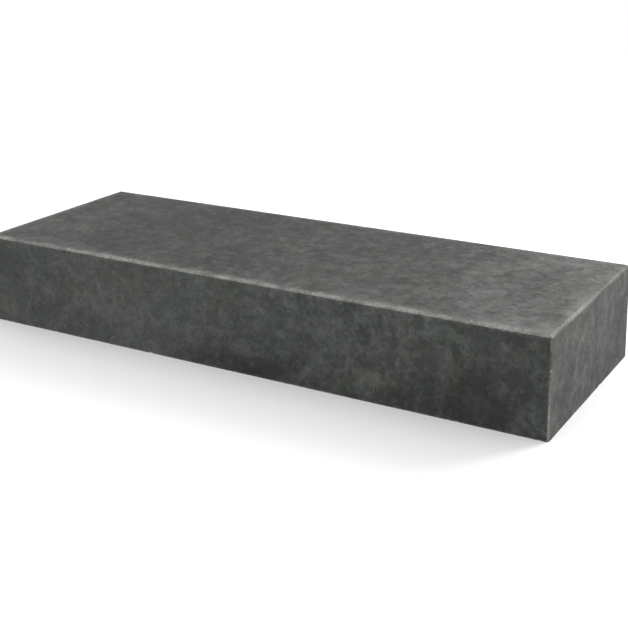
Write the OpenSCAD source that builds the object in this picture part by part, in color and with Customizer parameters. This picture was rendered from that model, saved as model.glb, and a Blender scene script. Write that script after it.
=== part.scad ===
// Solid precast concrete block step.
//
// One casting: a full-section rectangular block, bedded on its underside and
// walked on along its top. The arrises round the tread carry a 45 degree
// bevel, left by the fillet strip in the bottom of the mould, because such a
// step is cast tread side down. The four upright corners carry a smaller
// bevel so that the block comes out of the mould whole. The arrises round the
// underside are the open, struck-off side of the mould and stay square.
//
// Units are millimetres. +X runs along the step, +Y from the riser to the
// back, +Z up. The origin is in the middle of the underside.

/* [Block] */
// Length of the step, end face to end face
step_length = 1000; // [400:50:2000]
// Depth of the step, riser face to back face
step_depth = 350; // [250:10:500]
// Height of the step, underside to tread
step_height = 150; // [80:5:220]

/* [Edges] */
// Leg of the 45 degree bevel round the tread
tread_bevel = 4; // [2:0.5:15]
// Leg of the 45 degree bevel on the four upright corners
corner_bevel = 2; // [1:0.5:10]

/* [Hidden] */
half_length = step_length / 2;
half_depth = step_depth / 2;
concrete_grey = [0.36, 0.37, 0.36];

// The two points that cut the corner at the sx, sy end of the block, in
// counter-clockwise order, with sx and sy each 1 or -1.
function plan_corner(sx, sy, b) =
    let (on_end = [sx * half_length, sy * (half_depth - b)],
         on_side = [sx * (half_length - b), sy * half_depth])
    sx * sy > 0 ? [on_end, on_side] : [on_side, on_end];

// The block's outline seen from above, counter-clockwise.
function plan_outline(b) = concat(
    plan_corner(1, 1, b),
    plan_corner(-1, 1, b),
    plan_corner(-1, -1, b),
    plan_corner(1, -1, b)
);

// A section with square bottom corners and both top corners bevelled.
function upright_section(w, h, b) = [
    [-w / 2, 0],
    [w / 2, 0],
    [w / 2, h - b],
    [w / 2 - b, h],
    [-w / 2 + b, h],
    [-w / 2, h - b]
];

// Full height, with the upright corners cut.
module plan_prism() {
    linear_extrude(height = step_height)
        polygon(plan_outline(corner_bevel));
}

// The riser-to-back section, run along the length of the step. It is a little
// longer than the block, so that only the plan cuts its ends.
module depth_prism() {
    rotate([90, 0, 90])
        translate([0, 0, -half_length - 1])
            linear_extrude(height = step_length + 2)
                polygon(upright_section(step_depth, step_height, tread_bevel));
}

// The end-to-end section, run from riser to back.
module length_prism() {
    rotate([90, 0, 0])
        translate([0, 0, -half_depth - 1])
            linear_extrude(height = step_depth + 2)
                polygon(upright_section(step_length, step_height, tread_bevel));
}

// The cast block: what the three prisms share.
module step_block() {
    color(concrete_grey)
        intersection() {
            plan_prism();
            depth_prism();
            length_prism();
        }
}

step_block();
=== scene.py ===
import math

import bpy
import numpy as np
from mathutils import Matrix, Vector, geometry


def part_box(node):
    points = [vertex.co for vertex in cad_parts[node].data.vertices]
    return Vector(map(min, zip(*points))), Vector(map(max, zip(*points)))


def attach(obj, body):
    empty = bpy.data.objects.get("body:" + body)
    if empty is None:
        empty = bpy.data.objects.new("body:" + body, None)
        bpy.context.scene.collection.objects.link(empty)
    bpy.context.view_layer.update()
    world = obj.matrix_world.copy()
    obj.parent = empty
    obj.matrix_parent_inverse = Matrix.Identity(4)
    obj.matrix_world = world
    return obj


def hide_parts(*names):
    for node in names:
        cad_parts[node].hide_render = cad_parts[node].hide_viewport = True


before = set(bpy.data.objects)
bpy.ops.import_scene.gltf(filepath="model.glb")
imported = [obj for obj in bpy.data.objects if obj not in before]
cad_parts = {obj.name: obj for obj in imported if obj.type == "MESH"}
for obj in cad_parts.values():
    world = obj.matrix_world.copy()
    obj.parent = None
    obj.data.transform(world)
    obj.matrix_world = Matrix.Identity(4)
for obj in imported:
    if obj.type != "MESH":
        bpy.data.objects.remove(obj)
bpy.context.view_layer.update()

# ---------------------------------------------------------------------------
# The block's size, from the CAD body. Everything below works in millimetres
# from the middle of the underside, and goes to metres when the mesh is made.
# ---------------------------------------------------------------------------
low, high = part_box("step_block")
MIDDLE = ((low[0] + high[0]) / 2, (low[1] + high[1]) / 2, low[2])
A = (high[0] - low[0]) * 500  # half the length
B = (high[1] - low[1]) * 500  # half the depth
H = (high[2] - low[2]) * 1000  # height

TREAD_BEVEL = 4.0
CORNER_BEVEL = 2.0
ARRIS_RADIUS = 0.5
SEED = 508


# ---------------------------------------------------------------------------
# Noise for shape and stains, the same on every run
# ---------------------------------------------------------------------------
def scramble(h):
    h = h ^ (h >> np.uint32(16))
    h = h * np.uint32(0x7FEB352D)
    h = h ^ (h >> np.uint32(15))
    h = h * np.uint32(0x846CA68B)
    return h ^ (h >> np.uint32(16))


def noise(p, cell, seed):
    """Gradient noise at the points p, about -1 to 1, with lumps about cell mm across."""
    q = np.asarray(p, float) / cell + np.array([0.37, 0.71, 0.13]) * (seed + 1)
    base = np.floor(q)
    f = q - base
    i = base.astype(np.int64)
    w = f * f * f * (f * (f * 6 - 15) + 10)
    total = np.zeros(len(q))
    for dx in (0, 1):
        for dy in (0, 1):
            for dz in (0, 1):
                h = (
                    (i[:, 0] + dx) * 73856093
                    ^ (i[:, 1] + dy) * 19349663
                    ^ (i[:, 2] + dz) * 83492791
                    ^ (seed * 2654435761 + SEED)
                ) & 0xFFFFFFFF
                h = scramble(h.astype(np.uint32))
                turn = (h & np.uint32(0xFFFF)).astype(float) * (2 * np.pi / 65536)
                rise = (h >> np.uint32(16)).astype(float) / 32768 - 1
                flat = np.sqrt(np.clip(1 - rise * rise, 0, 1))
                slope = (
                    np.cos(turn) * flat * (f[:, 0] - dx)
                    + np.sin(turn) * flat * (f[:, 1] - dy)
                    + rise * (f[:, 2] - dz)
                )
                weight = (
                    (w[:, 0] if dx else 1 - w[:, 0])
                    * (w[:, 1] if dy else 1 - w[:, 1])
                    * (w[:, 2] if dz else 1 - w[:, 2])
                )
                total += weight * slope
    return total * 1.7


def layered(p, cell, seed, layers=3, keep=0.5):
    total, part, whole = 0, 1.0, 0.0
    for k in range(layers):
        total = total + part * noise(p, cell / 2**k, seed + 31 * k)
        whole += part
        part *= keep
    return total / whole


def step01(x, lo, hi):
    t = np.clip((x - lo) / (hi - lo), 0, 1)
    return t * t * (3 - 2 * t)


# --------------------------------------------------------------------------- Noise for shape, stains and painted light and shade, the same on every run
# The sharp box that the mesh is laid out on: six faces, twelve edges
# Each face: corner it starts from, its u and v directions, its size
# ---------------------------------------------------------------------------
FACES = {
    "front": ((-A, -B, 0), (1, 0, 0), (0, 0, 1), 2 * A, H),
    "back": ((A, B, 0), (-1, 0, 0), (0, 0, 1), 2 * A, H),
    "right": ((A, -B, 0), (0, 1, 0), (0, 0, 1), 2 * B, H),
    "left": ((-A, B, 0), (0, -1, 0), (0, 0, 1), 2 * B, H),
    "tread": ((-A, -B, H), (1, 0, 0), (0, 1, 0), 2 * A, 2 * B),
    "under": ((-A, B, 0), (1, 0, 0), (0, -1, 0), 2 * A, 2 * B),
}
# Rows of points beside an edge: distance from the edge, spacing along it
ROWS = {
    "tread": [(0.8, 2.0), (1.7, 2.0), (2.6, 2.0), (3.3, 1.8), (3.8, 1.8), (4.3, 1.8), (4.9, 1.8),
              (6.0, 2.2), (7.9, 2.8), (10.6, 3.6)],
    "corner": [(0.6, 2.0), (1.2, 2.0), (1.8, 1.8), (2.3, 1.8), (3.0, 2.0), (4.4, 2.5), (6.8, 3.2), (10.0, 4.0)],
    "foot": [(0.4, 2.2), (0.9, 2.2), (1.7, 2.3), (3.2, 2.9), (5.9, 3.8), (9.6, 4.6)],
}
LATTICE = {"front": 4.8, "back": 4.9, "right": 4.8, "left": 4.9, "tread": 4.8, "under": 10.5}

rng = np.random.default_rng(SEED)


def edge_kind(fixed):
    """Which sort of edge this is, from the two coordinates that stay the same along it."""
    if "z1" in fixed:
        return "tread"
    return "foot" if "z0" in fixed else "corner"


# An edge is named by the axis it runs along and the two sides it lies on.
EDGES = {}
for sz in ("z0", "z1"):
    for sy in (-1, 1):
        EDGES["x", sy, sz] = 2 * A
    for sx in (-1, 1):
        EDGES["y", sx, sz] = 2 * B
for sx in (-1, 1):
    for sy in (-1, 1):
        EDGES["z", sx, sy] = H


def edge_point(edge, t):
    """The point t mm along an edge of the sharp box, counted in the direction of its axis."""
    axis, one, two = edge
    z = {"z0": 0.0, "z1": H}.get(two, 0.0)
    if axis == "x":
        return np.array([t - A, one * B, z])
    if axis == "y":
        return np.array([one * A, t - B, z])
    return np.array([one * A, two * B, t])


def edge_outward(edge):
    """Unit vector out of the edge, halfway between its two faces."""
    axis, one, two = edge
    up = {"z0": -1.0, "z1": 1.0}.get(two, 0.0)
    v = {"x": (0, one, up), "y": (one, 0, up), "z": (one, two if axis == "z" else 0, 0)}[axis]
    return np.array(v, float) / math.sqrt(2)


# ---------------------------------------------------------------------------
# Nicks: small shells of concrete knocked off the arrises in handling
# ---------------------------------------------------------------------------
def make_nicks():
    found = []

    def add(edge, t, width, depth, lean):
        kind = edge_kind(edge)
        bevel = {"tread": TREAD_BEVEL, "corner": CORNER_BEVEL, "foot": 0.6}[kind]
        out = edge_outward(edge)
        axis = {"x": (1, 0, 0), "y": (0, 1, 0), "z": (0, 0, 1)}[edge[0]]
        across = np.cross(out, axis)  # along the bevel, from one face to the other
        at = edge_point(edge, t) - out * (bevel / math.sqrt(2)) + across * lean * bevel * 0.6
        tilt = out + across * lean * 0.35
        tilt /= np.linalg.norm(tilt)
        radius = (width * width / 4 + depth * depth) / (2 * depth)
        found.append({"edge": edge, "t": t, "width": width, "at": at, "centre": at + tilt * (radius - depth), "radius": radius})

    share = {"tread": 9.0, "corner": 8.0, "foot": 11.0}  # nicks for each metre of edge
    for edge, length in EDGES.items():
        kind = edge_kind(edge)
        count = max(1, int(round(share[kind] * length / 1000 + rng.uniform(-0.6, 0.6))))
        for k in range(count):
            t = length * (k + rng.uniform(0.12, 0.88)) / count
            width = 1.8 + 2.6 * rng.random() ** 2.2
            if kind == "foot":
                width *= 1.35
            add(edge, t, width, width * rng.uniform(0.13, 0.2), rng.uniform(-1, 1))
    # A few larger ones, kept to the foot and to the corners of the block
    add(("x", -1, "z0"), 2 * A * 0.337, 8.5, 1.4, 0.3)
    add(("x", -1, "z0"), 2 * A * 0.868, 6.5, 1.1, -0.2)
    add(("y", 1, "z0"), 2 * B * 0.62, 7.5, 1.3, 0.2)
    add(("x", 1, "z0"), 2 * A * 0.21, 9.5, 1.7, 0.1)
    add(("x", 1, "z0"), 2 * A * 0.71, 7.0, 1.2, -0.3)
    add(("y", -1, "z0"), 2 * B * 0.4, 8.0, 1.5, 0.2)
    add(("z", 1, -1), 22.0, 5.0, 0.8, 0.2)
    add(("z", 1, -1), 101.0, 3.6, 0.55, -0.4)
    add(("z", -1, -1), 58.0, 4.4, 0.7, 0.2)
    add(("z", 1, 1), 77.0, 5.2, 0.9, 0.2)
    add(("z", -1, 1), 31.0, 5.6, 1.0, -0.1)
    add(("x", 1, "z1"), 2 * A * 0.44, 5.6, 0.9, 0.4)
    add(("y", -1, "z1"), 2 * B * 0.3, 5.2, 0.8, -0.3)
    add(("y", 1, "z1"), 2 * B * 0.17, 4.0, 0.6, 0.5)
    add(("x", -1, "z1"), 2 * A * 0.93, 3.8, 0.55, -0.3)
    add(("y", 1, "z1"), 2 * B * 0.3, 3.6, 0.55, -0.6)
    add(("y", 1, "z1"), 2 * B * 0.4, 3.0, 0.45, 0.5)
    add(("y", 1, "z1"), 2 * B * 0.79, 3.4, 0.6, 0.2)
    add(("y", 1, "z1"), 2 * B * 0.9, 3.2, 0.55, 0.4)
    return found


NICKS = make_nicks()


# ---------------------------------------------------------------------------
# Air holes: the blow holes that a mould leaves on upright faces, and the few
# small ones that come up on the tread
# ---------------------------------------------------------------------------
def make_holes(face, count, smallest, largest, lean=2.6):
    _, _, _, lu, lv = FACES[face]
    found = []
    tries = 0
    while len(found) < count and tries < 20000:
        tries += 1
        r = smallest + (largest - smallest) * rng.random() ** lean
        u, v = rng.uniform(9 + r, lu - 9 - r), rng.uniform(8 + r, lv - 9 - r)
        if found and rng.random() < 0.3:  # some come in small groups
            near = found[rng.integers(len(found))]
            turn, far = rng.uniform(0, 2 * math.pi), rng.uniform(5, 14)
            u, v = near[0] + far * math.cos(turn), near[1] + far * math.sin(turn)
            r = min(r, smallest * 1.5)
            if not (9 + r < u < lu - 9 - r and 8 + r < v < lv - 9 - r):
                continue
        if all((u - h[0]) ** 2 + (v - h[1]) ** 2 > (1.7 * (r + h[2]) + 1.6) ** 2 for h in found):
            deep = r * rng.uniform(0.75, 1.15)
            found.append((u, v, r, min(deep, 2.2), rng.uniform(0, math.pi), rng.uniform(0.78, 1.0),
                          rng.uniform(0, 2 * math.pi), rng.uniform(0, 2 * math.pi)))
    return found


HOLES = {
    "front": make_holes("front", 96, 0.5, 1.5),
    "back": make_holes("back", 104, 0.5, 2.1),
    "right": make_holes("right", 38, 0.5, 1.4),
    "left": make_holes("left", 40, 0.5, 1.9),
    "tread": make_holes("tread", 70, 0.45, 1.1, 3.0),
    "under": [],
}


def hole_reach(hole, u, v):
    """Distance from the hole's middle, as a share of its uneven outline's radius."""
    _, _, r, _, turn, squeeze, one, two = hole
    du, dv = u - hole[0], v - hole[1]
    x = du * math.cos(turn) + dv * math.sin(turn)
    y = (-du * math.sin(turn) + dv * math.cos(turn)) / squeeze
    way = np.arctan2(y, x)
    return np.hypot(x, y) / (r * (1 + 0.1 * np.cos(2 * way + one) + 0.07 * np.cos(3 * way + two)))


# ---------------------------------------------------------------------------
# Points on each face, finest at the arrises, holes and nicks
# ---------------------------------------------------------------------------
def edge_places(edge, length):
    """Where the shared points lie along an edge."""
    close = [n for n in NICKS if n["edge"] == edge]
    normal = {"tread": 2.0, "corner": 2.0, "foot": 2.2}[edge_kind(edge)]
    places = [0.0]
    while places[-1] < length:
        t = places[-1]
        gap = normal
        for n in close:
            if abs(t - n["t"]) < n["width"] / 2 + 2:
                gap = min(gap, 1.0)
        places.append(t + gap * rng.uniform(0.86, 1.14))
    places = np.array(places)
    return places * (length / places[-1])


EDGE_PLACES = {edge: edge_places(edge, length) for edge, length in EDGES.items()}


def face_edges(name):
    """The face's four edges, as (edge, which side of the face, reversed or not)."""
    return {
        "front": [(("x", -1, "z0"), "v0", 0), (("x", -1, "z1"), "v1", 0), (("z", -1, -1), "u0", 0), (("z", 1, -1), "u1", 0)],
        "back": [(("x", 1, "z0"), "v0", 1), (("x", 1, "z1"), "v1", 1), (("z", 1, 1), "u0", 0), (("z", -1, 1), "u1", 0)],
        "right": [(("y", 1, "z0"), "v0", 0), (("y", 1, "z1"), "v1", 0), (("z", 1, -1), "u0", 0), (("z", 1, 1), "u1", 0)],
        "left": [(("y", -1, "z0"), "v0", 1), (("y", -1, "z1"), "v1", 1), (("z", -1, 1), "u0", 0), (("z", -1, -1), "u1", 0)],
        "tread": [(("x", -1, "z1"), "v0", 0), (("x", 1, "z1"), "v1", 0), (("y", -1, "z1"), "u0", 0), (("y", 1, "z1"), "u1", 0)],
        "under": [(("x", 1, "z0"), "v0", 0), (("x", -1, "z0"), "v1", 0), (("y", -1, "z0"), "u0", 1), (("y", 1, "z0"), "u1", 1)],
    }[name]


class Thin:
    """Keeps points apart: a new one is taken only if none taken before is too close."""

    def __init__(self, cell=2.0):
        self.cell, self.grid, self.points = cell, {}, []

    def take(self, u, v, apart, sure=False):
        c = self.cell
        iu, iv = int(u // c), int(v // c)
        if not sure:
            k = int(apart // c) + 1
            limit = apart * apart
            grid = self.grid
            for a in range(iu - k, iu + k + 1):
                for b in range(iv - k, iv + k + 1):
                    for x, y in grid.get((a, b), ()):
                        if (x - u) * (x - u) + (y - v) * (y - v) < limit:
                            return
        self.grid.setdefault((iu, iv), []).append((u, v))
        self.points.append((u, v))


def face_points(name):
    _, _, _, lu, lv = FACES[name]
    thin = Thin()
    edges = face_edges(name)

    def along(side, t, away):
        return {"v0": (t, away), "v1": (t, lv - away), "u0": (away, t), "u1": (lu - away, t)}[side]

    border = []  # the outline as a loop of (edge, index)
    for edge, side, back in edges:
        places = EDGE_PLACES[edge]
        length = EDGES[edge]
        for t in places:
            u, v = along(side, length - t if back else t, 0.0)
            thin.take(u, v, 0.02)  # corners come twice
    border_count = len(thin.points)

    for hole in HOLES[name]:
        u, v, r = hole[:3]
        count = 7 if r < 1.0 else 9 if r < 1.6 else 12
        rings = (1.12, 0.86, 0.5) if r < 1.0 else (1.14, 0.98, 0.8, 0.5)
        thin.take(u, v, 0, True)
        for k, ring in enumerate(rings):
            for j in range(count):
                way = 2 * math.pi * (j + 0.5 * (k % 2)) / count
                # walk out along this bearing to the hole's own outline
                du, dv = math.cos(way), math.sin(way)
                reach = hole_reach(hole, u + du, v + dv)
                thin.take(u + du * ring / float(reach), v + dv * ring / float(reach), 0, True)
        for j in range(count):
            way = 2 * math.pi * (j + 0.25) / count
            far = r * 1.14 + 0.6 + 0.55 * r
            thin.take(u + far * math.cos(way), v + far * math.sin(way), 0.5)

    inside = 0.3
    for nick in NICKS:
        for edge, side, back in edges:
            if nick["edge"] != edge:
                continue
            t = EDGES[edge] - nick["t"] if back else nick["t"]
            gap = max(0.62, nick["width"] / 8)
            far = nick["width"] / 2 + 1.2
            deep = nick["width"] * 0.62 + {"tread": 3.0, "corner": 1.8, "foot": 0.8}[edge_kind(edge)]
            across = np.arange(gap * 0.75, deep, gap)
            for row, away in enumerate(across):
                for place in np.arange(-far, far, gap) + gap * 0.5 * (row % 2):
                    u, v = along(side, t + place, away)
                    if inside < u < lu - inside and inside < v < lv - inside:
                        thin.take(u, v, gap * 0.72)

    for edge, side, back in edges:
        length = EDGES[edge]
        for away, gap in ROWS[edge_kind(edge)]:
            if name == "under":
                gap *= 1.6
            n = int((length - 2 * away) / gap)
            shift = rng.random()
            for j in range(n + 1):
                t = away + (j + shift * 0.5 + 0.25) * (length - 2 * away) / (n + 1)
                u, v = along(side, t + rng.uniform(-0.12, 0.12) * gap, away + rng.uniform(-0.06, 0.06) * gap * 0.5)
                thin.take(u, v, min(gap * 0.42, 0.62 + 0.12 * away))

    gap = LATTICE[name]
    start = 13.0
    rows = int((lv - 2 * start) / (gap * 0.866)) + 1
    cols = int((lu - 2 * start) / gap) + 1
    for j in range(rows + 1):
        v = start + (lv - 2 * start) * j / rows
        for i in range(cols + 1):
            u = start + (lu - 2 * start) * (i + 0.5 * (j % 2)) / (cols + 0.5)
            thin.take(u + rng.uniform(-0.16, 0.16) * gap, v + rng.uniform(-0.16, 0.16) * gap, gap * 0.62)
    return thin.points, border_count


def build_box():
    """The sharp box, triangulated: points, triangles, each triangle's face and its corners' places on that face."""
    places, shared = [], {}
    triangles, faces, flats = [], [], []
    for number, name in enumerate(FACES):
        corner, du, dv, lu, lv = FACES[name]
        corner, du, dv = (np.array(x, float) for x in (corner, du, dv))
        points, border = face_points(name)
        spots = np.array(points)
        rim = [i for i in range(border)]
        # the outline in order, so that it can be held in the triangulation
        u, v = spots[:border, 0], spots[:border, 1]
        side = np.where(v < 1e-6, 0, np.where(u > lu - 1e-6, 1, np.where(v > lv - 1e-6, 2, 3)))
        run = np.choose(side, [u, v, lu - u, lv - v])
        order = sorted(rim, key=lambda i: (side[i], run[i]))
        loop = [(order[i], order[(i + 1) % border]) for i in range(border)]
        verts, _, tris, origin, _, _ = geometry.delaunay_2d_cdt(
            [Vector(p) for p in points], loop, [], 1, 1e-7, True
        )
        assert len(verts) == len(points), (name, len(verts), len(points))
        back = np.array([o[0] for o in origin])
        numbers = np.empty(len(points), int)
        solid = corner + spots[:, :1] * du + spots[:, 1:] * dv
        for i in range(len(points)):
            if i < border:
                key = tuple(np.round(solid[i], 4))
                if key not in shared:
                    shared[key] = len(places)
                    places.append(solid[i])
                numbers[i] = shared[key]
            else:
                numbers[i] = len(places)
                places.append(solid[i])
        tris = back[np.array(tris)]
        a, b, c = (spots[tris[:, k]] for k in range(3))
        turn = (b[:, 0] - a[:, 0]) * (c[:, 1] - a[:, 1]) - (b[:, 1] - a[:, 1]) * (c[:, 0] - a[:, 0])
        tris[turn < 0] = tris[turn < 0][:, ::-1]
        triangles.append(numbers[tris])
        faces.append(np.full(len(tris), number))
        flats.append(spots[tris])
    return np.array(places), np.concatenate(triangles), np.concatenate(faces), np.concatenate(flats)


P, TRIS, TRI_FACE, TRI_FLAT = build_box()


# ---------------------------------------------------------------------------
# From the sharp box to the cast block: bevels whose width wanders a little,
# softened arrises, then the surface's own unevenness, holes and nicks
# ---------------------------------------------------------------------------
def wander(p, seed, least, most):
    """A bevel width along the arrises, between least and most, mostly near least."""
    slow = layered(p, 85.0, seed, 2)
    quick = layered(p, 9.0, seed + 7, 2)
    return least + (most - least) * np.clip(0.42 + 0.42 * slow + 0.36 * quick, 0, 1)


def soften(p):
    """Each point moved to the nearest place on the bevelled, softened block, and the outward direction there."""
    sign = np.where(p[:, :2] < 0, -1.0, 1.0)
    q = np.column_stack([np.abs(p[:, 0]), np.abs(p[:, 1]), p[:, 2]])
    bevel = wander(p, 3, TREAD_BEVEL - 0.4, TREAD_BEVEL + 0.7)
    corner = wander(p, 11, CORNER_BEVEL - 0.5, CORNER_BEVEL + 0.5)
    foot = np.clip(1.5 * layered(p, 14.0, 19, 3) - 0.25, 0, 0.9)
    s = 1 / math.sqrt(2)
    planes = [
        ((1, 0, 0), np.full(len(p), A)),
        ((0, 1, 0), np.full(len(p), B)),
        ((0, 0, 1), np.full(len(p), H)),
        ((0, 0, -1), np.zeros(len(p))),
        ((s, 0, s), (A + H - bevel) * s),
        ((0, s, s), (B + H - bevel) * s),
        ((s, s, 0), (A + B - corner) * s),
        ((s, 0, -s), (A - foot) * s),
        ((0, s, -s), (B - foot) * s),
    ]
    x = q.copy()
    held = [np.zeros_like(q) for _ in planes]
    for _ in range(48):  # Dykstra's projection onto the block shrunk by the arris radius
        for k, (n, reach) in enumerate(planes):
            n = np.array(n)
            y = x + held[k]
            over = np.maximum(y @ n - (reach - ARRIS_RADIUS), 0)
            x = y - over[:, None] * n
            held[k] = y - x
    out = q - x
    out /= np.linalg.norm(out, axis=1)[:, None]
    x = x + out * ARRIS_RADIUS
    x[:, :2] *= sign
    out[:, :2] *= sign
    return x, out


near = (
    np.sort(np.column_stack([A - np.abs(P[:, 0]), B - np.abs(P[:, 1]), H - P[:, 2], P[:, 2]]), axis=1)[:, 1] < 16
)
Q = P.copy()
OUT = np.zeros_like(P)
Q[near], OUT[near] = soften(P[near])
flat = ~near
for axis, lim, way in ((0, A, 1), (0, -A, -1), (1, B, 1), (1, -B, -1), (2, H, 1), (2, 0, -1)):
    on = flat & (np.abs(P[:, axis] - lim) < 1e-6)
    OUT[on, axis] = way

# How far each point is from the nearest arris of each sort, on the sharp box
to_end, to_side, to_top = A - np.abs(P[:, 0]), B - np.abs(P[:, 1]), H - P[:, 2]
on_top, on_under = to_top < 1e-6, P[:, 2] < 1e-6
tread_edge = np.where(on_top, np.minimum(to_end, to_side), to_top)
tread_edge = np.where(on_under, 999.0, tread_edge)
corner_edge = np.where(on_top | on_under, np.hypot(to_end, to_side), np.maximum(to_end, to_side))
foot_edge = np.where(on_under, np.minimum(to_end, to_side), P[:, 2])
foot_edge = np.where(on_top, 999.0, foot_edge)
inner = step01(np.minimum(np.minimum(tread_edge, corner_edge), foot_edge), 3, 16)

# Unevenness, always inwards: slow swelling of the mould, ripple, skin
depth = 0.16 * (1 + layered(P, 240.0, 41, 2)) * inner
depth += np.where(on_top, 0.05, 0.075) * (1 + layered(P, 42.0, 43, 2))
depth += 0.022 * (1 + layered(P, 11.0, 47, 2))
# The underside was struck off by hand in the open mould, so it is lumpy
depth = np.where(on_under, (0.5 + 0.42 * layered(P, 70.0, 53, 3)) * step01(foot_edge, 0, 14), depth)

# Air holes
hole_mark = np.zeros(len(P))
rim_mark = np.zeros(len(P))
for name, holes in HOLES.items():
    corner, du, dv, lu, lv = FACES[name]
    corner, du, dv = (np.array(x, float) for x in (corner, du, dv))
    normal = np.cross(du, dv)
    on = np.nonzero(np.abs((P - corner) @ normal) < 1e-6)[0]
    u, v = (P[on] - corner) @ du, (P[on] - corner) @ dv
    for hole in holes:
        close = (np.abs(u - hole[0]) < 4 * hole[2] + 3) & (np.abs(v - hole[1]) < 4 * hole[2] + 3)
        reach = hole_reach(hole, u[close], v[close])
        sunk = np.interp(reach, [0, 0.5, 0.8, 0.87, 0.99, 1.1], [1, 0.96, 0.74, 0.62, 0.14, 0])
        depth[on[close]] += hole[3] * sunk
        # The hole's inside, where it is painted dark as its shade
        hole_mark[on[close]] = np.maximum(hole_mark[on[close]], np.interp(reach, [0.75, 1.04], [1, 0]))
        rim_mark[on[close]] = np.maximum(rim_mark[on[close]], np.interp(reach, [0.9, 1.15, 2.4], [0, 1, 0]))

Q = Q - OUT * depth[:, None]

# Nicks
nick_mark = np.zeros(len(P))
for nick in NICKS:
    away = Q - nick["centre"]
    far = np.linalg.norm(away, axis=1)
    reach = nick["radius"] * (1 + 0.05 * noise(Q, 2.4, 61) * np.clip(3 / nick["radius"], 0, 1))
    hit = (far < reach) & (np.linalg.norm(P - nick["at"], axis=1) < nick["width"] * 1.2 + 6)
    Q[hit] = nick["centre"] + away[hit] * (reach[hit] / far[hit])[:, None]
    size = np.clip(nick["width"] / 5, 0.4, 1)
    nick_mark[hit] = np.maximum(nick_mark[hit], size)

Q[:, 0] = np.clip(Q[:, 0], -A, A)
Q[:, 1] = np.clip(Q[:, 1], -B, B)
Q[:, 2] = np.clip(Q[:, 2], 0, H)
# The block stands on the high spots of its underside
lowest = Q[:, 2].min()
if lowest > 0:
    Q[on_under, 2] -= lowest

# --------------------------------------------------------------------------- Marks that the material reads: pale arrises (rubbed wear and painted highlight), painted light and shade, a darker foot, clouds of bloom
# Marks that the material reads: rubbed arrises, damp foot, clouds of bloom
# ---------------------------------------------------------------------------
loose = layered(P, 26.0, 71, 3)
fine = layered(P, 7.0, 73, 2)
# The riser's arris is the palest, the right arris follows a profile along its length, and the other two are paler by
# less; partly rubbed wear, partly painted highlight on the arrises
by_riser = 1 - step01(P[:, 1] + B, 4.0, 16.0)
by_right = step01(P[:, 0], A - 30, A) * (1 - by_riser)
along_right = np.interp(P[:, 1] / B, [-1, -0.8, -0.66, -0.5, -0.34, -0.17, 0, 0.17, 0.34, 0.54, 0.72, 1],
                        [0.3, 0.3, 0.58, 0.58, 0.64, 0.4, 0.45, 0.1, 0.02, 0.27, 0.1, 0.22])
rub_and_highlight = (0.58 + 0.42 * by_riser) * (1 - by_right) + along_right * by_right
# On an upright face the pale arris band stops sooner than on the tread
down_face = tread_edge * 1.2 + 1.5 * step01(tread_edge, 0, 1.5) + 1.6 * np.maximum(tread_edge - 2.5, 0)
edge = np.clip(np.where(on_top | on_under, tread_edge, down_face), 0, 60)
middle = np.exp(-(((P[:, 1] + 24) / 60) ** 2)) * on_top
# Painted light: a broad paler patch on the tread by its right end, about the middle of its depth, carried in the wear
# mark
tread_end_light = 1 - step01(to_end + 5 * loose + 2.5 * fine, 2.0, 30.0)
wear_and_light = tread_end_light * middle * (P[:, 0] > 0) * (0.24 + 0.16 * loose)
corner_band = 1 - step01(corner_edge + 0.6 * loose + 0.5 * fine, 1.4, 3.4)
low_corner = (1 - step01(P[:, 2], 40, 95)) * (P[:, 0] > 0) * (P[:, 1] < 0)
wear_and_light = np.maximum(wear_and_light, corner_band * (0.2 + 0.35 * loose + 0.3 * low_corner))
foot_band = 1 - step01(foot_edge + 0.7 * loose, 0.8, 2.6)
wear_and_light = np.maximum(wear_and_light, foot_band * (0.22 + 0.4 * loose))
wear_and_light = np.clip(np.maximum(wear_and_light, nick_mark * 0.95), 0, 1)
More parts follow.
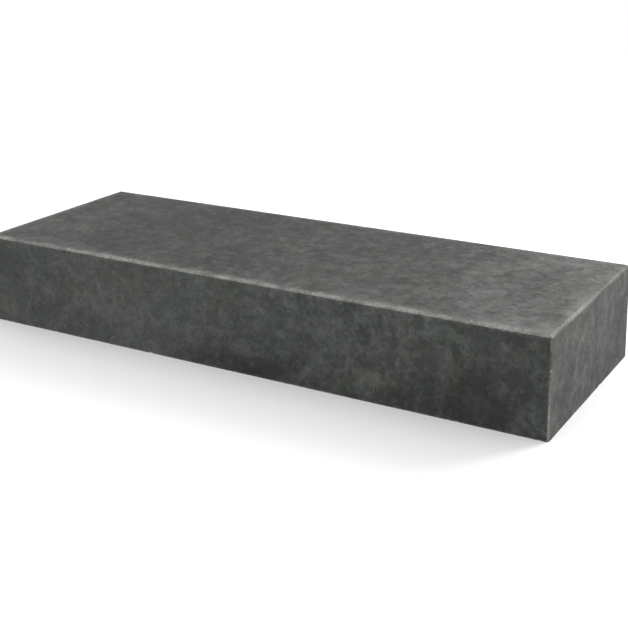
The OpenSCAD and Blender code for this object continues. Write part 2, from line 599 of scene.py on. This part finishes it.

# Soft light and dark patches, some stains and some painted light and shade: face, place along it, place up it, half
# width, half height, strength
PATCHES = [
    # riser, darker along the foot and painted shade towards the right end
    ("front", 494, 12, 118, 26, -0.85), ("front", 560, 16, 70, 26, -0.5), ("front", 410, 10, 50, 16, -0.45),
    ("front", 850, 30, 110, 40, -0.7), ("front", 925, 62, 55, 38, -0.75), ("front", 800, 8, 60, 18, -0.5),
    ("front", 540, 72, 60, 40, -0.25), ("front", 612, 38, 32, 18, -1.1), ("front", 980, 26, 22, 22, 0.14), ("front", 975, 66, 26, 24, -0.3),
    ("front", 270, 78, 120, 50, 0.28), ("front", 330, 40, 70, 30, 0.2), ("front", 432, 50, 18, 13, 0.6),
    ("front", 712, 34, 46, 20, 0.5), ("front", 762, 46, 46, 18, 0.5), ("front", 640, 106, 26, 14, 0.45),
    ("front", 790, 122, 70, 18, 0.4), ("front", 868, 112, 34, 22, 0.35), ("front", 552, 112, 14, 9, 0.6),
    ("front", 290, 14, 100, 20, 0.36), ("front", 400, 128, 110, 22, 0.16), ("front", 890, 136, 44, 14, 0.25),
    ("front", 530, 12, 110, 20, -0.2), ("front", 120, 18, 50, 20, 0.12), ("front", 40, 104, 56, 44, -0.55), ("front", 903, 13, 42, 15, -0.95), ("front", 740, 96, 24, 13, -0.4),
    ("front", 846, 127, 26, 16, 0.65), ("front", 908, 124, 22, 12, 0.35), ("front", 371, 44, 28, 18, 0.3), ("front", 334, 104, 26, 16, 0.3),
    # tread, painted light making it paler towards the right end, and paler along the front arris, partly as painted
    # highlight
    ("tread", 60, 160, 90, 120, 0.24), ("tread", 250, 150, 120, 130, -0.26), ("tread", 300, 290, 110, 60, -0.3),
    ("tread", 470, 120, 60, 60, -0.1), ("tread", 640, 140, 26, 34, 0.35), ("tread", 676, 106, 22, 22, 0.4),
    ("tread", 612, 68, 44, 28, 0.5), ("tread", 716, 60, 30, 30, 0.3), ("tread", 745, 160, 28, 40, -0.2),
    ("tread", 722, 90, 16, 14, -0.2), ("tread", 862, 110, 44, 60, 0.5), ("tread", 830, 226, 60, 60, 0.2),
    ("tread", 918, 204, 28, 26, 0.3), ("tread", 930, 60, 30, 40, 0.3), ("tread", 950, 300, 60, 60, 0.5),
    ("tread", 130, 18, 90, 24, 0.36), ("tread", 400, 16, 100, 16, 0.2), ("tread", 820, 14, 70, 14, 0.2),
    ("tread", 8, 50, 46, 90, 0.35), ("tread", 900, 40, 90, 26, 0.35),
    ("tread", 890, 4, 150, 36, 0.75), ("tread", 150, 36, 110, 36, 0.25), ("tread", 760, 52, 40, 20, -0.3), ("tread", 690, 34, 44, 38, 0.5), ("tread", 500, 8, 560, 20, 0.14), ("tread", 610, 300, 18, 16, 0.3), ("tread", 540, 300, 120, 40, -0.15),
    ("tread", 668, 68, 48, 20, 0.75), ("tread", 551, 71, 28, 18, 0.35), ("tread", 692, 205, 34, 44, 0.5), ("tread", 736, 250, 26, 28, 0.3),
    ("tread", 896, 302, 46, 40, 1.1), ("tread", 812, 282, 40, 28, -0.55), ("tread", 845, 66, 28, 20, -0.3),
    # right end
    ("right", 128, 114, 56, 18, 0.5), ("right", 82, 126, 40, 12, 0.3), ("right", 310, 78, 36, 26, -0.7),
    ("right", 72, 36, 34, 16, -0.3), ("right", 175, 18, 40, 12, -0.2), ("right", 128, 76, 30, 20, 0.3),
    ("right", 92, 134, 16, 9, -0.5), ("right", 275, 128, 22, 10, -0.4), ("right", 238, 72, 20, 14, 0.2),
    ("right", 20, 60, 14, 60, 0.25), ("right", 20, 18, 50, 26, 0.75), ("right", 325, 62, 50, 44, -0.25),
    # back and left end, which have the same sort of marks
    ("back", 180, 14, 120, 22, -0.6), ("back", 520, 8, 160, 18, -0.5), ("back", 840, 20, 120, 26, -0.65),
    ("back", 330, 92, 110, 40, 0.3), ("back", 660, 60, 70, 30, 0.3), ("back", 760, 116, 70, 18, 0.35),
    ("back", 90, 110, 50, 24, 0.3), ("back", 470, 110, 44, 20, -0.3), ("back", 600, 112, 24, 14, 0.4),
    ("back", 925, 92, 50, 34, -0.25), ("back", 250, 52, 34, 18, -0.3),
    ("left", 80, 18, 90, 20, -0.6), ("left", 262, 34, 70, 24, -0.45), ("left", 170, 104, 70, 22, 0.4),
    ("left", 300, 116, 36, 18, 0.3), ("left", 60, 100, 36, 22, -0.3),
]
on_front = P[:, 1] < -B + 1e-6
on_side = np.abs(P[:, 0]) > A - 1e-6
bend = np.column_stack([layered(P, 60.0, 81, 3), layered(P, 60.0, 83, 3), layered(P, 60.0, 85, 3)])
bend_fine = np.column_stack([layered(P, 16.0, 91, 2), layered(P, 16.0, 93, 2), layered(P, 16.0, 95, 2)])
moved = P + 20.0 * bend + 6.0 * bend_fine
stain_and_painted_light = np.zeros(len(P))
for name, pu, pv, wu, wv, strength in PATCHES:
    corner, du, dv, lu, lv = FACES[name]
    corner, du, dv = (np.array(x, float) for x in (corner, du, dv))
    normal = np.cross(du, dv)
    off = np.abs((P - corner) @ normal)
    u, v = (moved - corner) @ du, (moved - corner) @ dv
    reach = np.hypot((u - pu) / wu, (v - pv) / wv)
    stain_and_painted_light += strength * (1 - step01(reach, 0.35, 1.25)) * (1 - step01(off, 0, 9))
# The foot of every upright face is a little darker, except on the left half of the riser, where it is made lighter:
# painted light against the shade that falls at the foot there
rise = P[:, 2] + 14 * bend[:, 0] + 5 * bend_fine[:, 1]
foot_tone = np.where(on_front, np.interp(P[:, 0] / A, [-1, -0.2, 0.1, 1], [-0.2, -0.2, 0.36, 0.24]), np.where(on_side, 0.04, 0.2))
stain_and_painted_light += np.where(on_top | on_under, 0, -foot_tone * (1 - step01(rise, 2, 34)))
# Slow change from one end of the block to the other: painted light makes the tread paler towards its right end, painted
# shade makes the riser darker towards its right end, and the ends are darker towards the back
along = P[:, 0] / A
way_up = P[:, 2] / H
# Painted light: the tread paler towards its right end
drift = np.interp(along, [-1, -0.75, -0.4, 0.1, 0.55, 0.8, 0.92, 1], [-0.1, -0.22, -0.3, -0.22, 0.1, 0.68, 1.1, 1.38])
# Painted shade: the riser darker towards its right end, a little lighter at its left
riser_light_and_shade = np.interp(along, [-1, -0.3, 0.2, 0.6, 0.85, 1], [0.12, 0.08, -0.06, -0.32, -0.62, -0.9])
drift_side = np.interp(P[:, 1] / B, [-1, 0, 1], [-0.16, -0.26, -0.7])
stain_and_painted_light += np.where(on_top, drift, np.where(on_side, drift_side, riser_light_and_shade))
stain_and_painted_light = np.clip(stain_and_painted_light, -1.9, 2.0)
# How strongly the mottling shows
mottled = np.where(on_top, np.interp(along, [-1, 0.3, 1], [1.1, 1.15, 1.9]), np.where(on_side, 1.35, np.interp(along, [-1, -0.5, 0.1, 0.5, 1], [0.56, 0.58, 0.85, 1.05, 1.12])))

flank = np.clip(1 - np.abs(OUT[:, 2]) * 1.2, 0, 1) * np.where(on_side, 0.4, 1.0)
# Painted shade tint: the riser, back and underside a touch greener, like the shaded riser, and the ends and the tread's
# right end a touch warmer, like the lit faces
shade_tint = np.where(on_top, np.interp(along, [-1, 0.2, 1], [-0.35, -0.1, 0.75]), np.where(on_side, 0.7, -1.0))

# ---------------------------------------------------------------------------
# The mesh object
# ---------------------------------------------------------------------------
mesh = bpy.data.meshes.new("step_block_cast")
mesh.vertices.add(len(Q))
mesh.vertices.foreach_set("co", ((Q / 1000) + np.array(MIDDLE)).astype(np.float32).ravel())
mesh.loops.add(len(TRIS) * 3)
mesh.loops.foreach_set("vertex_index", TRIS.astype(np.int32).ravel())
mesh.polygons.add(len(TRIS))
mesh.polygons.foreach_set("loop_start", np.arange(0, len(TRIS) * 3, 3, dtype=np.int32))
mesh.polygons.foreach_set("use_smooth", np.ones(len(TRIS), bool))
mesh.update(calc_edges=True)
mesh.validate(verbose=False)

for mark, values in (
    ("wear_and_light", wear_and_light), ("stain_and_painted_light", stain_and_painted_light), ("flank", flank), ("hole", hole_mark), ("rim", rim_mark), ("nick", nick_mark),
    ("underside", on_under.astype(float)), ("mottled", mottled), ("edge", edge), ("rub_and_highlight", rub_and_highlight), ("shade_tint", shade_tint),
):
    layer = mesh.attributes.new(mark, "FLOAT", "POINT")
    layer.data.foreach_set("value", values.astype(np.float32))

# A map with every face flat and at one scale, the unseen underside at half
SHEET = 1024.0
PLACE = {  # face: left and lower edge in the sheet, scale
    "tread": (12, 666, 1.0), "front": (12, 509, 1.0), "back": (12, 352, 1.0),
    "right": (12, 195, 1.0), "left": (370, 195, 1.0), "under": (12, 12, 0.5),
}
uv = np.empty((len(TRIS), 3, 2), np.float32)
for number, name in enumerate(FACES):
    on = TRI_FACE == number
    x, y, scale = PLACE[name]
    uv[on] = (TRI_FLAT[on] * scale + np.array([x, y])) / SHEET
layer = mesh.uv_layers.new(name="OFBake")
layer.data.foreach_set("uv", uv.ravel())

block = bpy.data.objects.new("step_block_cast", mesh)
bpy.context.scene.collection.objects.link(block)


# ---------------------------------------------------------------------------
# Materials
# ---------------------------------------------------------------------------
class Graph:
    """Short names for the nodes used below."""

    def __init__(self, name):
        self.material = bpy.data.materials.new(name)
        self.material.use_nodes = True
        self.tree = self.material.node_tree
        self.shader = self.tree.nodes["Principled BSDF"]

    def node(self, kind, **settings):
        made = self.tree.nodes.new(kind)
        for key, value in settings.items():
            setattr(made, key, value)
        return made

    def put(self, socket, value):
        if isinstance(value, bpy.types.NodeSocket):
            self.tree.links.new(value, socket)
        else:
            socket.default_value = value

    def math(self, how, one, two=0.0, three=0.0, clamp=False):
        made = self.node("ShaderNodeMath", operation=how, use_clamp=clamp)
        for socket, value in zip(made.inputs, (one, two, three)):
            self.put(socket, value)
        return made.outputs[0]

    def mark(self, name):
        return self.node("ShaderNodeAttribute", attribute_name=name).outputs["Fac"]

    def noise(self, where, scale, detail=2.0, rough=0.5, bent=0.0):
        made = self.node("ShaderNodeTexNoise", noise_dimensions="3D")
        self.put(made.inputs["Vector"], where)
        made.inputs["Scale"].default_value = scale
        made.inputs["Detail"].default_value = detail
        made.inputs["Roughness"].default_value = rough
        made.inputs["Distortion"].default_value = bent
        return made.outputs["Fac"]

    def cells(self, where, scale, feature="F1", spread=1.0):
        made = self.node("ShaderNodeTexVoronoi", voronoi_dimensions="3D", feature=feature)
        self.put(made.inputs["Vector"], where)
        made.inputs["Scale"].default_value = scale
        made.inputs["Randomness"].default_value = spread
        return made

    def shift(self, where, move=(0, 0, 0), scale=(1, 1, 1)):
        made = self.node("ShaderNodeMapping")
        self.put(made.inputs["Vector"], where)
        made.inputs["Location"].default_value = move
        made.inputs["Scale"].default_value = scale
        return made.outputs[0]

    def span(self, value, lo, hi, out_lo=0.0, out_hi=1.0, smooth=True):
        made = self.node("ShaderNodeMapRange", interpolation_type="SMOOTHSTEP" if smooth else "LINEAR")
        for socket, v in zip(made.inputs, (value, lo, hi, out_lo, out_hi)):
            self.put(socket, v)
        return made.outputs[0]

    def blend(self, factor, one, two):
        made = self.node("ShaderNodeMix", data_type="RGBA")
        self.put(made.inputs["Factor"], factor)
        self.put(made.inputs["A"], one)
        self.put(made.inputs["B"], two)
        # colour sockets of a Mix node share their names with its float ones
        colour = [s for s in made.inputs if s.type == "RGBA"]
        self.put(colour[0], one)
        self.put(colour[1], two)
        return [s for s in made.outputs if s.type == "RGBA"][0]

    def grey_scale(self, colour, amount):
        """A colour times a number."""
        made = self.node("ShaderNodeVectorMath", operation="SCALE")
        self.put(made.inputs[0], colour)
        self.put(made.inputs["Scale"], amount)
        return made.outputs[0]


def cast_concrete():
    g = Graph("cast_concrete")
    where = g.node("ShaderNodeTexCoord").outputs["Object"]
    flank, wear_and_light, stain_and_painted_light = g.mark("flank"), g.mark("wear_and_light"), g.mark("stain_and_painted_light")
    hole, rim, nick, underside = g.mark("hole"), g.mark("rim"), g.mark("nick"), g.mark("underside")
    mottled, edge, rub_and_highlight, shade_tint = g.mark("mottled"), g.mark("edge"), g.mark("rub_and_highlight"), g.mark("shade_tint")

    # Tone: 0.5 is the usual grey. Each layer adds or takes a little.
    clouds = g.noise(where, 6.5, 2.0, 0.5, 0.7)
    blotch = g.noise(g.shift(where, (3.1, 0.4, 1.7)), 34.0, 4.0, 0.6, 0.9)
    curd = g.noise(g.shift(where, (0.7, 5.3, 2.9)), 78.0, 3.0, 0.62, 1.6)
    run = g.noise(g.shift(where, (9.0, 2.0, 4.0), (1.0, 1.0, 0.16)), 62.0, 3.0, 0.55, 0.5)
    run_wide = g.noise(g.shift(where, (4.0, 7.0, 1.0), (1.0, 1.0, 0.22)), 17.0, 2.0, 0.5, 0.6)
    sand = g.noise(g.shift(where, (1.3, 1.9, 0.2)), 430.0, 2.0, 0.65)
    mottle = g.noise(g.shift(where, (2.2, 8.1, 6.4)), 170.0, 3.0, 0.6, 0.4)

    # Small areas of skin that set lighter or darker than their neighbours
    wobble = g.node("ShaderNodeTexNoise", noise_dimensions="3D")
    g.put(wobble.inputs["Vector"], where)
    wobble.inputs["Scale"].default_value = 75.0
    wobble.inputs["Detail"].default_value = 3.0
    bent = g.node("ShaderNodeVectorMath", operation="MULTIPLY_ADD")
    g.put(bent.inputs[0], wobble.outputs["Color"])
    bent.inputs[1].default_value = (0.034, 0.034, 0.034)
    g.put(bent.inputs[2], where)

    def areas(scale):
        made = g.cells(bent.outputs[0], scale, "SMOOTH_F1")
        made.inputs["Smoothness"].default_value = 0.3
        split = g.node("ShaderNodeSeparateColor")
        g.put(split.inputs[0], made.outputs["Color"])
        return split.outputs[0]

    area_wide, area_small = areas(38.0), areas(88.0)

    def part(value, weight):
        return g.math("MULTIPLY", g.math("SUBTRACT", value, 0.5), weight)

    tone = g.math("ADD", part(clouds, 0.35), part(blotch, 0.72))
    tone = g.math("ADD", tone, part(curd, 0.58))
    tone = g.math("ADD", tone, part(area_wide, 0.27))
    tone = g.math("ADD", tone, part(area_small, 0.32))
    streaks = g.math("ADD", part(run, 0.4), part(run_wide, 0.25))
    tone = g.math("ADD", tone, g.math("MULTIPLY", streaks, flank))
    tone = g.math("ADD", tone, part(sand, 0.36))
    tone = g.math("ADD", tone, part(mottle, 0.36))
    tone = g.math("MULTIPLY", tone, mottled)
    # Paler islands of cement skin with an edge to them, and dark specks between
    island = g.noise(g.shift(where, (2.7, 6.1, 9.2)), 46.0, 5.0, 0.62, 1.1)
    tone = g.math("ADD", tone, g.span(island, 0.47, 0.6, -0.07, 0.15))
    speck = g.noise(g.shift(where, (5.5, 3.3, 7.7)), 260.0, 2.0, 0.55)
    specks = g.span(speck, 0.6, 0.68)
    tone = g.math("MULTIPLY_ADD", specks, -0.22, tone)
    # Stains together with painted light and shade
    tone = g.math("MULTIPLY_ADD", stain_and_painted_light, 0.36, tone)

    # Below the usual grey the tone falls off in proportion, above it in a line
    gain = g.math("POWER", 3.8, g.math("MINIMUM", tone, 0.0))
    gain = g.math("MULTIPLY_ADD", g.math("MAXIMUM", tone, 0.0), 1.335, gain)
    # Sand grains that show in the skin, pale and dark, of uneven shape and size
    crumple = g.node("ShaderNodeTexNoise", noise_dimensions="3D")
    g.put(crumple.inputs["Vector"], where)
    crumple.inputs["Scale"].default_value = 620.0
    crumple.inputs["Detail"].default_value = 1.0
    pushed = g.node("ShaderNodeVectorMath", operation="MULTIPLY_ADD")
    g.put(pushed.inputs[0], crumple.outputs["Color"])
    pushed.inputs[1].default_value = (0.0034, 0.0034, 0.0034)
    g.put(pushed.inputs[2], where)
    grains = g.cells(pushed.outputs[0], 290.0)
    pick = g.node("ShaderNodeSeparateColor")
    g.put(pick.inputs[0], grains.outputs["Color"])
    size = g.math("MULTIPLY_ADD", pick.outputs[2], 0.2, 0.12)
    near = g.math("LESS_THAN", grains.outputs["Distance"], size)
    pale_grain = g.math("MULTIPLY", near, g.span(pick.outputs[0], 0.86, 0.99))
    dark_grain = g.math("MULTIPLY", near, g.span(pick.outputs[1], 0.84, 0.99))
    gain = g.math("MULTIPLY", gain, g.math("MULTIPLY_ADD", pale_grain, 0.42, 1.0))
    gain = g.math("MULTIPLY", gain, g.math("MULTIPLY_ADD", dark_grain, -0.32, 1.0))
    cast = g.blend(g.span(tone, -0.5, 0.5), (0.0512, 0.0551, 0.0507, 1), (0.0537, 0.0552, 0.0528, 1))
    colour = g.grey_scale(cast, gain)
    # Hue: the painted shade tint by face first, then slow drift of hue, greener and plainer, and a little warmer and
    # cooler
    drift = g.noise(g.shift(where, (6.0, 6.0, 0.0)), 14.0, 3.0, 0.55, 0.4)
    warmth = g.noise(g.shift(where, (2.0, 3.0, 8.0)), 8.0, 2.0, 0.5, 0.3)
    side = g.blend(g.math("MULTIPLY_ADD", shade_tint, 0.5, 0.5), (0.972, 1.0, 0.988, 1), (1.016, 1.0, 0.984, 1))
    green = g.blend(g.span(drift, 0.36, 0.64), (0.985, 1.0, 0.985, 1), (1.008, 1.0, 1.006, 1))
    warm = g.blend(g.span(warmth, 0.36, 0.64), (1.006, 1.0, 0.988, 1), (0.994, 1.0, 1.004, 1))
    for tint in (side, green, warm):
        mixed = g.node("ShaderNodeVectorMath", operation="MULTIPLY")
        g.put(mixed.inputs[0], colour)
        g.put(mixed.inputs[1], tint)
        colour = mixed.outputs[0]

    # Arrises: a paler, ragged band on the bevel, fading out across the tread; partly rubbed wear, partly painted
    # highlight
    arris_break = g.noise(g.shift(where, (5.0, 0.0, 3.0)), 300.0, 4.0, 0.6, 0.4)
    arris_slow = g.noise(g.shift(where, (1.0, 7.0, 3.0)), 22.0, 4.0, 0.62, 0.3)
    ragged = g.noise(g.shift(where, (3.0, 9.0, 1.0)), 120.0, 4.0, 0.65, 0.5)
    reach = g.math("MULTIPLY_ADD", g.math("SUBTRACT", ragged, 0.5), 7.0, edge)
    reach = g.math("MULTIPLY_ADD", g.math("SUBTRACT", arris_break, 0.5), 2.5, reach)
    band = g.span(reach, 3.6, 5.8, 1.0, 0.0)
    band = g.math("MULTIPLY", band, g.span(edge, 1.8, 3.6, 0.8, 1.0))
    band = g.math("MULTIPLY", band, g.span(arris_slow, 0.34, 0.58, 0.5, 1.08))
    fringe = g.math("MULTIPLY_ADD", g.math("SUBTRACT", ragged, 0.5), 22.0, edge)
    fringe = g.math("MULTIPLY", g.span(fringe, 4.0, 20.0, 0.4, 0.0), g.math("MULTIPLY_ADD", flank, -0.85, 1.0))
    fringe = g.math("MULTIPLY", fringe, g.span(arris_slow, 0.38, 0.6, 0.35, 1.1))
    rubbed_and_highlit = g.math("MULTIPLY", g.math("MAXIMUM", band, fringe), rub_and_highlight)
    rubbed_and_highlit = g.math("MAXIMUM", rubbed_and_highlit, wear_and_light)
    rubbed_and_highlit = g.math("MULTIPLY", rubbed_and_highlit, g.span(arris_break, 0.3, 0.6, 0.78, 1.04), clamp=True)
    # The pale arris colour, partly rubbed wear and partly painted highlight
    colour = g.blend(rubbed_and_highlit, colour, g.blend(g.span(arris_break, 0.35, 0.65), (0.232, 0.236, 0.224, 1), (0.335, 0.339, 0.322, 1)))
    colour = g.blend(g.math("MULTIPLY", nick, 0.6), colour, g.blend(curd, (0.09, 0.088, 0.082, 1), (0.21, 0.205, 0.19, 1)))

    # Air holes: painted shade inside, with a thin pale lip
    colour = g.blend(g.math("MULTIPLY", rim, 0.16), colour, (0.17, 0.172, 0.165, 1))
    colour = g.blend(g.math("MULTIPLY", hole, 0.62), colour, (0.02, 0.02, 0.019, 1))

    # Pin holes too small to model, painted dark as their shade
    pins = g.cells(g.shift(where, (0.31, 0.17, 0.53)), 125.0)
    pin_pick = g.node("ShaderNodeSeparateColor")
    g.put(pin_pick.inputs[0], pins.outputs["Color"])
    some = g.math("GREATER_THAN", pin_pick.outputs[2], 0.8)
    pin = g.math("MULTIPLY", g.span(pins.outputs["Distance"], 0.035, 0.075, 1.0, 0.0), some)
    colour = g.blend(g.math("MULTIPLY", pin, 0.6), colour, (0.018, 0.018, 0.017, 1))

    # The struck-off underside is rougher and a little paler
    colour = g.blend(g.math("MULTIPLY", underside, 0.35), colour, (0.12, 0.12, 0.114, 1))
    g.put(g.shader.inputs["Base Color"], colour)

    rough = g.math("MULTIPLY_ADD", part(blotch, 1.0), 0.22, 0.72)
    rough = g.math("MULTIPLY_ADD", part(sand, 1.0), 0.14, rough)
    rough = g.math("MULTIPLY_ADD", rubbed_and_highlit, 0.06, rough)
    rough = g.math("MULTIPLY_ADD", hole, 0.2, rough)
    rough = g.math("MULTIPLY_ADD", nick, 0.15, rough)
    rough = g.math("MULTIPLY_ADD", underside, 0.12, rough, clamp=True)
    g.put(g.shader.inputs["Roughness"], rough)
    g.shader.inputs["Specular IOR Level"].default_value = 0.3

    # Relief under a millimetre: sand, skin, pin holes, brushed underside
    relief = g.math("MULTIPLY", sand, 0.22)
    relief = g.math("MULTIPLY_ADD", mottle, 0.3, relief)
    relief = g.math("MULTIPLY_ADD", curd, 0.3, relief)
    relief = g.math("MULTIPLY_ADD", pale_grain, 0.1, relief)
    relief = g.math("MULTIPLY_ADD", pin, -1.6, relief)
    rough_cast = g.noise(g.shift(where, (8.0, 1.0, 1.0)), 210.0, 4.0, 0.7)
    relief = g.math("MULTIPLY_ADD", g.math("MULTIPLY", rough_cast, g.math("MAXIMUM", nick, underside)), 1.4, relief)
    bump = g.node("ShaderNodeBump")
    bump.inputs["Strength"].default_value = 0.75
    bump.inputs["Distance"].default_value = 0.0006
    g.put(bump.inputs["Height"], relief)
    g.put(g.shader.inputs["Normal"], bump.outputs[0])
    return g.material


mesh.materials.append(cast_concrete())
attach(block, "root")
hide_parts("step_block")

# ---------------------------------------------------------------------------
# Floor, light, camera
# ---------------------------------------------------------------------------
floor_mesh = bpy.data.meshes.new("floor")
floor_mesh.from_pydata([(-18, -18, 0), (18, -18, 0), (18, 18, 0), (-18, 18, 0)], [], [(0, 1, 2, 3)])
floor = bpy.data.objects.new("floor", floor_mesh)
floor.location.z = low[2]
bpy.context.scene.collection.objects.link(floor)
floor_paint = Graph("floor_paint")
floor_paint.shader.inputs["Base Color"].default_value = (0.955, 0.955, 0.955, 1)
floor_paint.shader.inputs["Roughness"].default_value = 0.95
floor_paint.shader.inputs["Specular IOR Level"].default_value = 0.0
floor_mesh.materials.append(floor_paint.material)

world = bpy.data.worlds.new("studio")
world.use_nodes = True
world.node_tree.nodes["Background"].inputs["Color"].default_value = (1.0, 1.0, 1.0, 1)
world.node_tree.nodes["Background"].inputs["Strength"].default_value = 1.05
bpy.context.scene.world = world


def soft_light(name, at, aim, width, depth, watts, colour=(1, 1, 1)):
    data = bpy.data.lights.new(name, "AREA")
    data.shape = "RECTANGLE"
    data.size, data.size_y = width, depth
    data.energy = watts
    data.color = colour
    made = bpy.data.objects.new(name, data)
    made.location = at
    made.rotation_mode = "QUATERNION"
    made.rotation_quaternion = (Vector(aim) - Vector(at)).to_track_quat("-Z", "Y")
    bpy.context.scene.collection.objects.link(made)


soft_light("key", (1.34, 1.59, 1.3), (0, 0, 0.1), 1.0, 1.0, 36)

camera_data = bpy.data.cameras.new("camera")
camera_data.sensor_fit = "AUTO"
camera_data.sensor_width = 36
camera_data.lens = 1214.2 / 630 * 36
camera_data.shift_y = -0.2
camera_data.clip_start, camera_data.clip_end = 0.05, 100
camera = bpy.data.objects.new("camera", camera_data)
azimuth, elevation, roll = math.radians(30.610), math.radians(14.011), math.radians(-0.702)
back = Vector((math.sin(azimuth) * math.cos(elevation), -math.cos(azimuth) * math.cos(elevation), math.sin(elevation)))
right = Vector((math.cos(azimuth), math.sin(azimuth), 0))
up = right.cross(-back)
turned_right = right * math.cos(roll) + up * math.sin(roll)
turned_up = up * math.cos(roll) - right * math.sin(roll)
camera.matrix_world = Matrix((
    (turned_right.x, turned_up.x, back.x, 0.9891),
    (turned_right.y, turned_up.y, back.y, -1.6039),
    (turned_right.z, turned_up.z, back.z, 0.7196),
    (0, 0, 0, 1),
))
bpy.context.scene.collection.objects.link(camera)
bpy.context.scene.camera = camera
bpy.context.scene.view_settings.view_transform = "Standard"

print("BLOCK", len(Q), "points", len(TRIS), "triangles", {k: len(v) for k, v in HOLES.items()}, len(NICKS), "nicks")
